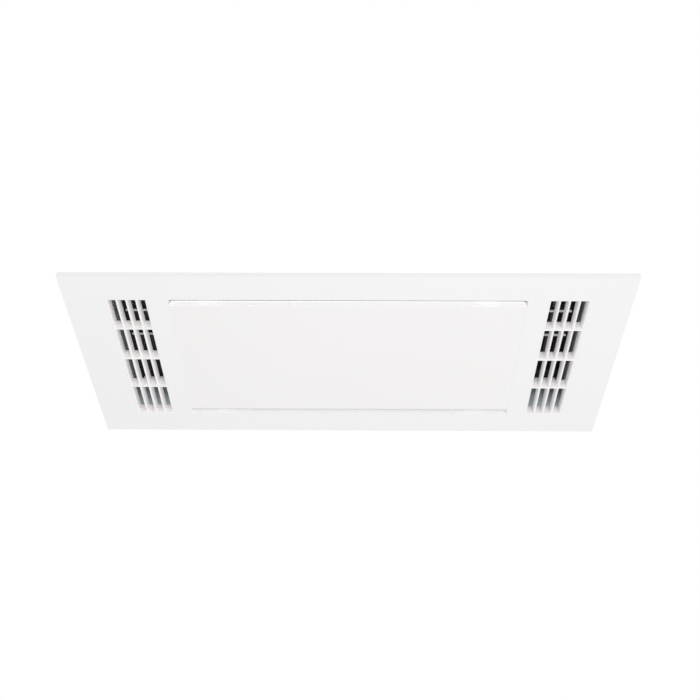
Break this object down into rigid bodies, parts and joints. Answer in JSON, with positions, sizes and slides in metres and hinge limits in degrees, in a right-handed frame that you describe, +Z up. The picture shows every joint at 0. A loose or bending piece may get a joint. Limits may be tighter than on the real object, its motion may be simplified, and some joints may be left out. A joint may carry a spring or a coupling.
{
  "type": "bathroom heater fan light",
  "caption": "Ceiling unit with a fan heater, an extractor fan and a flush light panel, in a white face plate with egg-crate end grilles and a round duct spigot.",
  "frame": {"origin": "centre of the housing's ceiling flange, on its upper face, which bears on the ceiling board", "axes": "+Z up out of the room, +X along the long side towards the heater's grille, +Y along the short side; the face looks down"},
  "size_m": [0.611, 0.26, 0.1925],
  "materials": {
    "white_plastic": "satin white",
    "opal_plastic": "opal, diffusing",
    "white_steel": "white powder coat",
    "led_board_white": "white solder mask",
    "led_phosphor": "clear over yellow",
    "galvanised_steel": "galvanised",
    "spring_steel": "bright spring steel",
    "zinc_screws": "zinc plated",
    "black_plastic": "fine texture",
    "wheel_plastic": "moulded",
    "motor_steel": "black enamel",
    "shaft_steel": "ground",
    "grommet_rubber": "matte",
    "flap_aluminium": "mill finish",
    "element_aluminium": "dulled by heat",
    "brass": "as machined",
    "cutout_case": "tinned",
    "driver_case": "moulded",
    "terminal_plastic": "moulded",
    "cover_plastic": "moulded",
    "board_green": "solder mask",
    "clamp_plastic": "glass filled"
  },
  "bodies": {
    "unit": {"cable_gland": "black_plastic", "ceiling_flange": "galvanised_steel", "clamp_brackets": "galvanised_steel", "clamp_screws": "zinc_screws", "control_board": "board_green", "control_cover": "cover_plastic", "damper_pin": "shaft_steel", "deck_screws": "zinc_screws", "duct_spigot": "black_plastic", "element_frame": "black_plastic", "extractor_inlet_ring": "black_plastic", "extractor_motor": "motor_steel", "extractor_scroll": "black_plastic", "fan_deck": "black_plastic", "gland_nut": "black_plastic", "heater_duct": "galvanised_steel", "heater_guard_bars": "white_steel", "heater_inlet_ring": "black_plastic", "heater_motor": "motor_steel", "heater_scroll": "black_plastic", "heating_element": "element_aluminium", "housing": "galvanised_steel", "housing_rivets": "zinc_screws", "intake_baffle": "galvanised_steel", "intake_guard_bars": "white_steel", "led_driver": "driver_case", "motor_grommets": "grommet_rubber", "motor_screws": "zinc_screws", "run_capacitors": "driver_case", "spigot_screws": "zinc_screws", "terminal_block": "terminal_plastic", "terminal_cover": "cover_plastic", "terminal_tabs": "brass", "thermal_cutout": "cutout_case"},
    "face": {"face_plate": "white_plastic", "grille_right": "white_plastic", "grille_left": "white_plastic", "diffuser": "opal_plastic", "light_tray": "white_steel", "led_strips": "led_board_white", "led_packages": "led_phosphor", "light_straps": "galvanised_steel", "spring_clips": "spring_steel", "face_screws": "zinc_screws"},
    "extractor_rotor": {"extractor_wheel": "wheel_plastic", "extractor_shaft": "shaft_steel"},
    "heater_rotor": {"heater_wheel": "wheel_plastic", "heater_shaft": "shaft_steel"},
    "flap": {"damper_flap": "flap_aluminium"},
    "clamp_bush_1": {"clamp_bush_1": "brass"},
    "clamp_arm_1": {"clamp_arm_1": "clamp_plastic"},
    "clamp_bush_2": {"clamp_bush_2": "brass"},
    "clamp_arm_2": {"clamp_arm_2": "clamp_plastic"},
    "clamp_bush_3": {"clamp_bush_3": "brass"},
    "clamp_arm_3": {"clamp_arm_3": "clamp_plastic"},
    "clamp_bush_4": {"clamp_bush_4": "brass"},
    "clamp_arm_4": {"clamp_arm_4": "clamp_plastic"}
  },
  "joints": [
    {"name": "face_pull_down", "type": "slide", "parent": "unit", "child": "face", "axis": [0, 0, 1], "range_m": [-0.04, 0], "deforming": ["spring_clips"]},
    {"name": "extractor_spin", "type": "hinge", "parent": "unit", "child": "extractor_rotor", "pos_m": [-0.095, 0, 0.12], "axis": [0, 0, 1], "continuous": true},
    {"name": "heater_spin", "type": "hinge", "parent": "unit", "child": "heater_rotor", "pos_m": [0.088, 0, 0.11], "axis": [0, 0, 1], "continuous": true},
    {"name": "flap_swing", "type": "hinge", "parent": "unit", "child": "flap", "pos_m": [-0.285, 0.05, 0.115], "axis": [0, 1, 0], "range_deg": [0, 75]},
    {"name": "clamp_travel_1", "type": "slide", "parent": "unit", "child": "clamp_bush_1", "axis": [0, 0, 1], "range_m": [-0.007, 0.011]},
    {"name": "clamp_swing_1", "type": "hinge", "parent": "clamp_bush_1", "child": "clamp_arm_1", "pos_m": [-0.273, -0.085, 0.02], "axis": [0, 0, 1], "range_deg": [-90, 0]},
    {"name": "clamp_travel_2", "type": "slide", "parent": "unit", "child": "clamp_bush_2", "axis": [0, 0, 1], "range_m": [-0.007, 0.011]},
    {"name": "clamp_swing_2", "type": "hinge", "parent": "clamp_bush_2", "child": "clamp_arm_2", "pos_m": [-0.273, 0.085, 0.02], "axis": [0, 0, 1], "range_deg": [0, 90]},
    {"name": "clamp_travel_3", "type": "slide", "parent": "unit", "child": "clamp_bush_3", "axis": [0, 0, 1], "range_m": [-0.007, 0.011]},
    {"name": "clamp_swing_3", "type": "hinge", "parent": "clamp_bush_3", "child": "clamp_arm_3", "pos_m": [0.273, -0.085, 0.02], "axis": [0, 0, 1], "range_deg": [0, 90]},
    {"name": "clamp_travel_4", "type": "slide", "parent": "unit", "child": "clamp_bush_4", "axis": [0, 0, 1], "range_m": [-0.007, 0.011]},
    {"name": "clamp_swing_4", "type": "hinge", "parent": "clamp_bush_4", "child": "clamp_arm_4", "pos_m": [0.273, 0.085, 0.02], "axis": [0, 0, 1], "range_deg": [-90, 0]}
  ]
}
